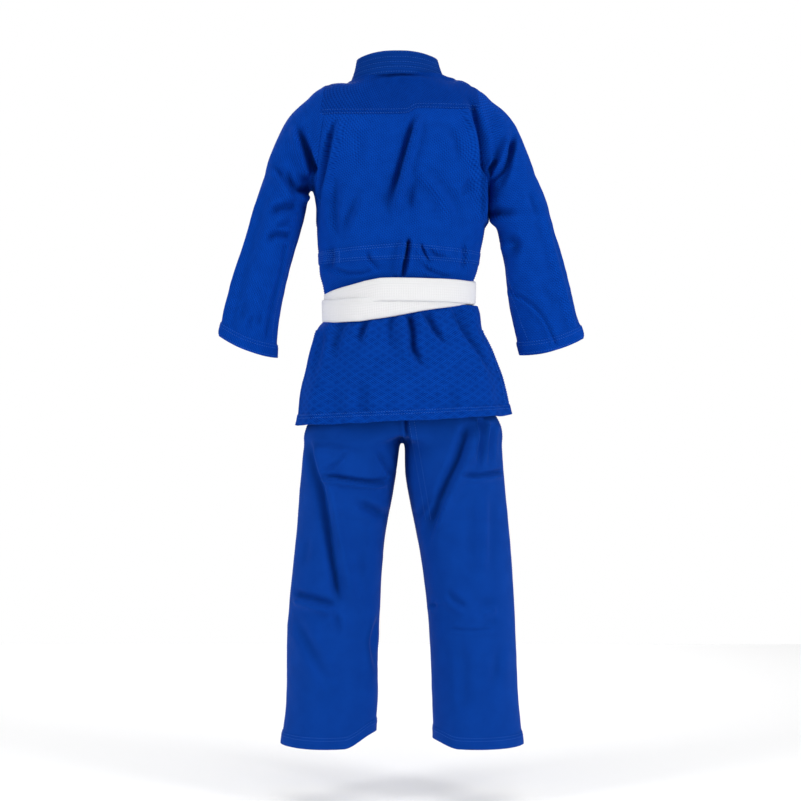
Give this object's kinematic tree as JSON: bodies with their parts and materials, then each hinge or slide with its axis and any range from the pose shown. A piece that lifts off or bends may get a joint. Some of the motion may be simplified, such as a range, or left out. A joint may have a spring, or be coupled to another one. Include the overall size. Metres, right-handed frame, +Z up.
{
  "type": "martial arts uniform",
  "caption": "Judo-style uniform as worn: crossed jacket with flared skirt, belt wound twice and tied in front, straight wide-legged trousers.",
  "frame": {"origin": "middle of the wearer's waist, at the height of the belt", "axes": "+Z up, the wearer faces -Y, the wearer's left side is +X"},
  "size_m": [0.648, 0.2628, 1.2162],
  "materials": {
    "jacket_weave": "rice-grain cotton weave",
    "skirt_weave": "coarser diamond cotton weave",
    "collar_drill": "stiff stitched drill",
    "trouser_twill": "smooth cotton twill",
    "belt_cotton": "stitched cotton belt",
    "elastic": "woven elastic"
  },
  "bodies": {
    "jacket": {"back_panel": "jacket_weave", "shoulder_yoke": "jacket_weave", "front_panel_left": "jacket_weave", "front_panel_right": "jacket_weave", "underarm_gusset_left": "jacket_weave", "underarm_gusset_right": "jacket_weave", "lapel_left": "collar_drill", "lapel_right": "collar_drill", "waist_band_back": "jacket_weave", "waist_band_front_left": "jacket_weave", "waist_band_front_right": "jacket_weave", "collar_band": "collar_drill", "belt_first_turn": "belt_cotton", "belt_second_turn": "belt_cotton", "belt_knot": "belt_cotton"},
    "back_skirt": {"back_skirt": "skirt_weave", "back_skirt_hem": "skirt_weave", "vent_facing_back_left": "skirt_weave", "vent_facing_back_right": "skirt_weave"},
    "front_skirt": {"front_skirt_left": "skirt_weave", "front_skirt_right": "skirt_weave", "front_hem_left": "skirt_weave", "front_hem_right": "skirt_weave", "lapel_tail_left": "collar_drill", "lapel_tail_right": "collar_drill", "vent_facing_front_left": "skirt_weave", "vent_facing_front_right": "skirt_weave"},
    "belt_tail_left": {"belt_tail_left": "belt_cotton"},
    "belt_tail_right": {"belt_tail_right": "belt_cotton"},
    "sleeve_left": {"upper_sleeve_left": "jacket_weave"},
    "sleeve_right": {"upper_sleeve_right": "jacket_weave"},
    "forearm_left": {"lower_sleeve_left": "jacket_weave", "cuff_hem_left": "jacket_weave"},
    "forearm_right": {"lower_sleeve_right": "jacket_weave", "cuff_hem_right": "jacket_weave"},
    "trousers": {"seat_front": "trouser_twill", "seat_back": "trouser_twill", "trouser_waistband": "trouser_twill", "waist_elastic": "elastic", "drawstring_loops": "trouser_twill"},
    "thigh_left": {"thigh_front_left": "trouser_twill", "thigh_back_left": "trouser_twill"},
    "thigh_right": {"thigh_front_right": "trouser_twill", "thigh_back_right": "trouser_twill"},
    "shin_left": {"shin_front_left": "trouser_twill", "shin_back_left": "trouser_twill", "knee_patch_left": "trouser_twill", "leg_hem_left": "trouser_twill"},
    "shin_right": {"shin_front_right": "trouser_twill", "shin_back_right": "trouser_twill", "knee_patch_right": "trouser_twill", "leg_hem_right": "trouser_twill"}
  },
  "joints": [
    {"name": "shoulder_left", "type": "hinge", "parent": "jacket", "child": "sleeve_left", "pos_m": [0.16, 0, 0.356], "axis": [0, -1, 0], "range_deg": [0, 65]},
    {"name": "shoulder_right", "type": "hinge", "parent": "jacket", "child": "sleeve_right", "pos_m": [-0.16, 0, 0.356], "axis": [0, 1, 0], "range_deg": [0, 65]},
    {"name": "elbow_left", "type": "hinge", "parent": "sleeve_left", "child": "forearm_left", "pos_m": [0.234, 0, 0.078], "axis": [-0.9724, 0, -0.2334], "range_deg": [0, 85]},
    {"name": "elbow_right", "type": "hinge", "parent": "sleeve_right", "child": "forearm_right", "pos_m": [-0.234, 0, 0.078], "axis": [-0.9724, 0, 0.2334], "range_deg": [0, 85]},
    {"name": "back_skirt_lift", "type": "hinge", "parent": "jacket", "child": "back_skirt", "pos_m": [0, 0.096, -0.041], "axis": [1, 0, 0], "range_deg": [0, 35], "stiffness_Nm_per_rad": 0.15, "springref_deg": -28.65},
    {"name": "front_skirt_lift", "type": "hinge", "parent": "jacket", "child": "front_skirt", "pos_m": [0, -0.105, -0.041], "axis": [-1, 0, 0], "range_deg": [0, 28], "stiffness_Nm_per_rad": 0.25, "springref_deg": -28.65},
    {"name": "belt_tail_left_swing", "type": "hinge", "parent": "front_skirt", "child": "belt_tail_left", "pos_m": [0.024, -0.114, -0.033], "axis": [-1, 0, 0], "range_deg": [0, 60]},
    {"name": "belt_tail_right_swing", "type": "hinge", "parent": "front_skirt", "child": "belt_tail_right", "pos_m": [-0.024, -0.114, -0.033], "axis": [-1, 0, 0], "range_deg": [0, 60]},
    {"name": "trousers_slip_down", "type": "slide", "parent": "jacket", "child": "trousers", "axis": [0, 0, -1], "range_m": [0, 0.23]},
    {"name": "hip_left", "type": "hinge", "parent": "trousers", "child": "thigh_left", "pos_m": [0, 0, -0.248], "axis": [-1, 0, 0], "range_deg": [-10, 20]},
    {"name": "hip_right", "type": "hinge", "parent": "trousers", "child": "thigh_right", "pos_m": [0, 0, -0.248], "axis": [-1, 0, 0], "range_deg": [-10, 20]},
    {"name": "knee_left", "type": "hinge", "parent": "thigh_left", "child": "shin_left", "pos_m": [0.12, 0, -0.518], "axis": [0.9963, 0, 0.0854], "range_deg": [0, 85]},
    {"name": "knee_right", "type": "hinge", "parent": "thigh_right", "child": "shin_right", "pos_m": [-0.12, 0, -0.518], "axis": [0.9963, 0, -0.0854], "range_deg": [0, 85]}
  ]
}
